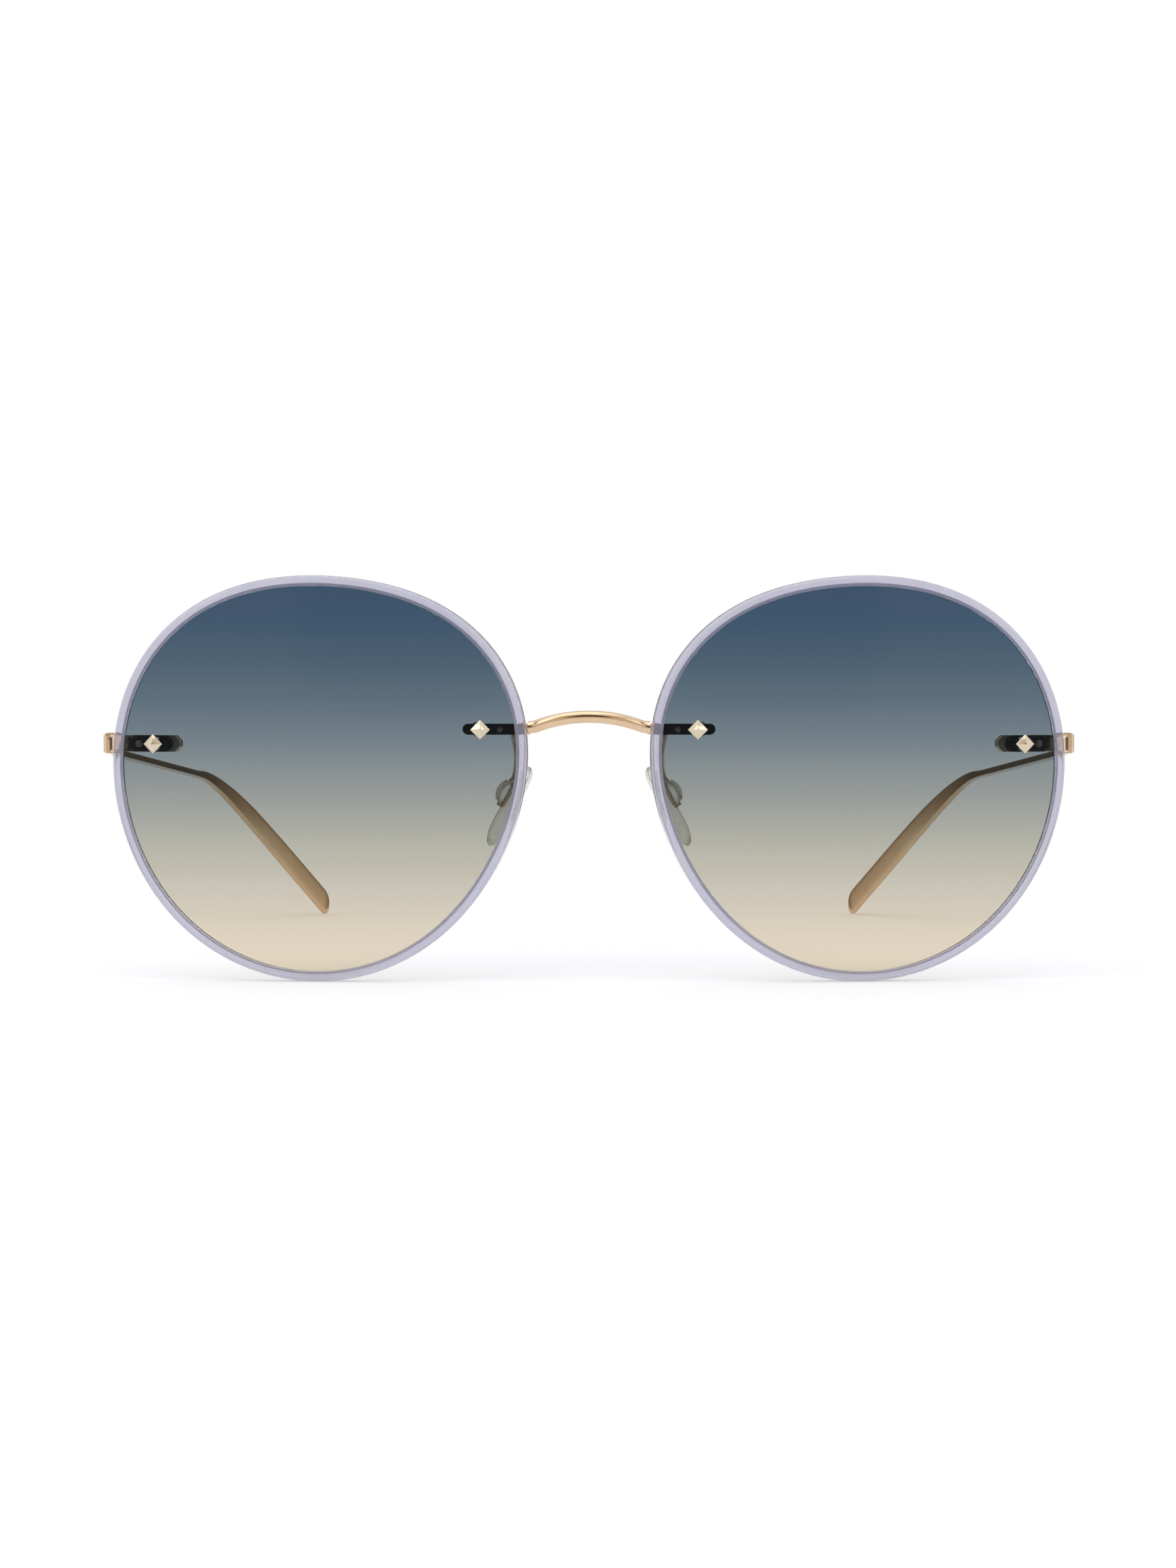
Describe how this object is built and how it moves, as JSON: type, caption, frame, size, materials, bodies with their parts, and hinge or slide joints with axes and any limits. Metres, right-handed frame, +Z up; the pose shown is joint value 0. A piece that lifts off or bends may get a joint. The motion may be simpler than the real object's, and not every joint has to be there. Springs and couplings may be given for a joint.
{
  "type": "sunglasses",
  "caption": "Oversized round sunglasses with thin pale rims, tinted lenses, pyramid studs, an arched bridge bar and slim folding temples.",
  "frame": {"origin": "centre of the overall bounding box seen from above, on the floor that the open glasses stand on", "axes": "+X to the right as seen from the front, across the lenses; +Y back along the temples, with the lenses facing -Y; +Z up"},
  "size_m": [0.1414, 0.1402, 0.0583],
  "materials": {
    "rim_plastic": "polished translucent lavender",
    "tinted_lens": "polished, blue-grey tint fading to pale gold",
    "gold_metal": "polished light gold plating",
    "champagne_metal": "polished pale champagne plating",
    "black_plastic": "smooth black",
    "clear_plastic": "clear",
    "pad_silicone": "clear satin silicone"
  },
  "bodies": {
    "front": {"rim_left": "rim_plastic", "rim_right": "rim_plastic", "lens_left": "tinted_lens", "lens_right": "tinted_lens", "bridge_bar": "gold_metal", "bridge_plate_left": "gold_metal", "bridge_plate_right": "gold_metal", "nasal_shim_left": "black_plastic", "nasal_shim_right": "black_plastic", "pad_arm_left": "gold_metal", "pad_arm_right": "gold_metal", "pad_blade_left": "gold_metal", "pad_blade_right": "gold_metal", "nose_pad_left": "pad_silicone", "nose_pad_right": "pad_silicone", "endpiece_left": "gold_metal", "endpiece_right": "gold_metal", "temporal_shim_left": "black_plastic", "temporal_shim_right": "black_plastic", "nasal_stud_left": "champagne_metal", "nasal_stud_right": "champagne_metal", "temporal_stud_left": "champagne_metal", "temporal_stud_right": "champagne_metal", "nasal_washer_left": "clear_plastic", "nasal_washer_right": "clear_plastic", "temporal_washer_left": "clear_plastic", "temporal_washer_right": "clear_plastic", "nasal_sleeve_left": "clear_plastic", "nasal_sleeve_right": "clear_plastic", "temporal_sleeve_left": "clear_plastic", "temporal_sleeve_right": "clear_plastic", "nasal_nut_left": "gold_metal", "nasal_nut_right": "gold_metal", "temporal_nut_left": "gold_metal", "temporal_nut_right": "gold_metal", "nasal_pin_left": "black_plastic", "nasal_pin_right": "black_plastic", "temporal_pin_left": "black_plastic", "temporal_pin_right": "black_plastic"},
    "temple_right": {"temple_right": "gold_metal", "temple_hinge_right": "gold_metal", "hinge_screw_right": "gold_metal", "side_rivet_right": "gold_metal"},
    "temple_left": {"temple_left": "gold_metal", "temple_hinge_left": "gold_metal", "hinge_screw_left": "gold_metal", "side_rivet_left": "gold_metal"}
  },
  "joints": [
    {"name": "hinge_right", "type": "hinge", "parent": "front", "child": "temple_right", "pos_m": [0.0682, -0.05961, 0.03418], "axis": [0, 0, 1], "range_deg": [0, 82]},
    {"name": "hinge_left", "type": "hinge", "parent": "front", "child": "temple_left", "pos_m": [-0.0682, -0.05961, 0.03418], "axis": [0, 0, -1], "range_deg": [0, 78]}
  ]
}
